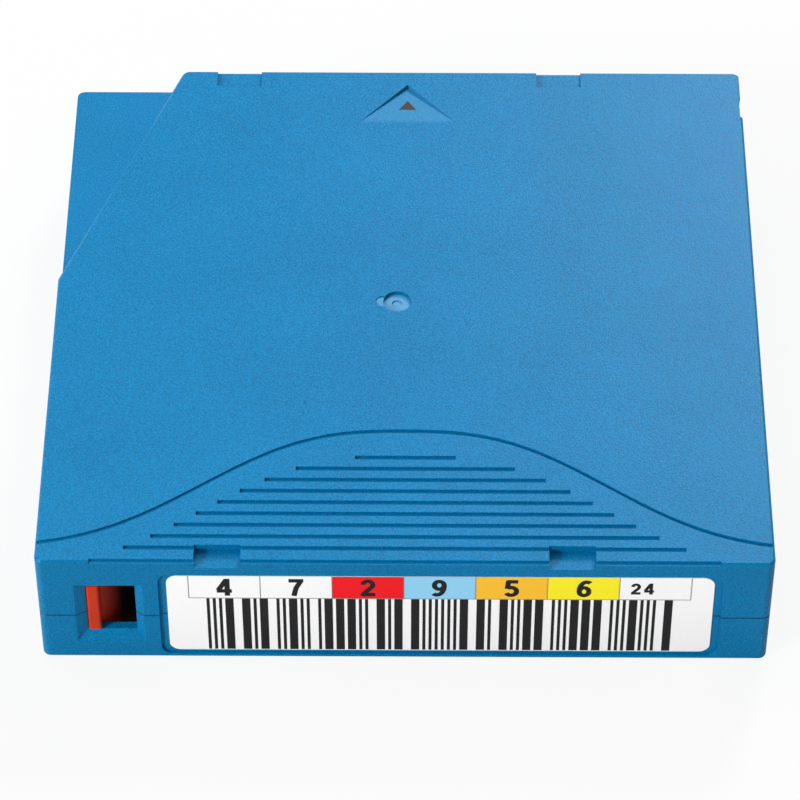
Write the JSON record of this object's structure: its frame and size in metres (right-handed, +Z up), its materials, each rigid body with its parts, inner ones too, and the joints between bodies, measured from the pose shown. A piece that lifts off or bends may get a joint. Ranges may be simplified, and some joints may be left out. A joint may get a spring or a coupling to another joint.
{
  "type": "data tape cartridge",
  "caption": "Flat square cartridge with a reel of half-inch data tape, a sprung side door over the leader pin, a reel brake, a write-protect slider and a label recess",
  "frame": {"origin": "centre of the case's bottom face, in the plane that it rests on", "axes": "+X to the right as seen from the label side, +Y from the label side towards the end that enters the drive, +Z up through the top face with the arrow; the reel turns about a line parallel to +Z"},
  "size_m": [0.1054, 0.102, 0.0215],
  "materials": {
    "shell_blue": "fine moulded grain",
    "door_blue": "satin",
    "label_white": "printed film, satin",
    "slider_red": "satin",
    "reel_white": "satin",
    "brake_white": "satin",
    "clip_white": "satin",
    "tape_brown": "smooth film",
    "steel": "bright",
    "board_green": "satin",
    "chip_black": "matte"
  },
  "bodies": {
    "shell": {"upper_shell": "shell_blue", "lower_shell": "shell_blue", "shell_screws": "steel", "cartridge_label": "label_white", "brake_spring": "steel", "door_spring": "steel", "leader_pin": "steel", "pin_clip": "clip_white", "pin_spring": "steel", "tape_leader": "tape_brown", "memory_board": "board_green", "memory_chip": "chip_black"},
    "reel": {"reel_hub": "reel_white", "upper_flange": "reel_white", "reel_plate": "steel", "tape_pack": "tape_brown"},
    "brake": {"brake_button": "brake_white"},
    "release": {"release_pad": "brake_white"},
    "door": {"door": "door_blue"},
    "slider": {"write_protect_slider": "slider_red"}
  },
  "joints": [
    {"name": "reel_spin", "type": "hinge", "parent": "shell", "child": "reel", "pos_m": [-0.0014, 0.0004, 0], "axis": [0, 0, 1], "continuous": true},
    {"name": "brake_lift", "type": "slide", "parent": "shell", "child": "brake", "axis": [0, 0, 1], "range_m": [0, 0.0019], "stiffness_N_per_m": 1500, "springref_m": -0.003, "deforming": ["brake_spring"]},
    {"name": "pad_lift", "type": "slide", "parent": "reel", "child": "release", "axis": [0, 0, 1], "range_m": [0, 0.0019]},
    {"name": "door_slide", "type": "slide", "parent": "shell", "child": "door", "axis": [0, -1, 0], "range_m": [0, 0.0175], "stiffness_N_per_m": 40, "springref_m": -0.012, "deforming": ["door_spring"]},
    {"name": "write_protect_slide", "type": "slide", "parent": "shell", "child": "slider", "axis": [1, 0, 0], "range_m": [0, 0.00505]}
  ],
  "couplings": [
    {"joint": "pad_lift", "follows": "brake_lift", "ratio": 1}
  ]
}
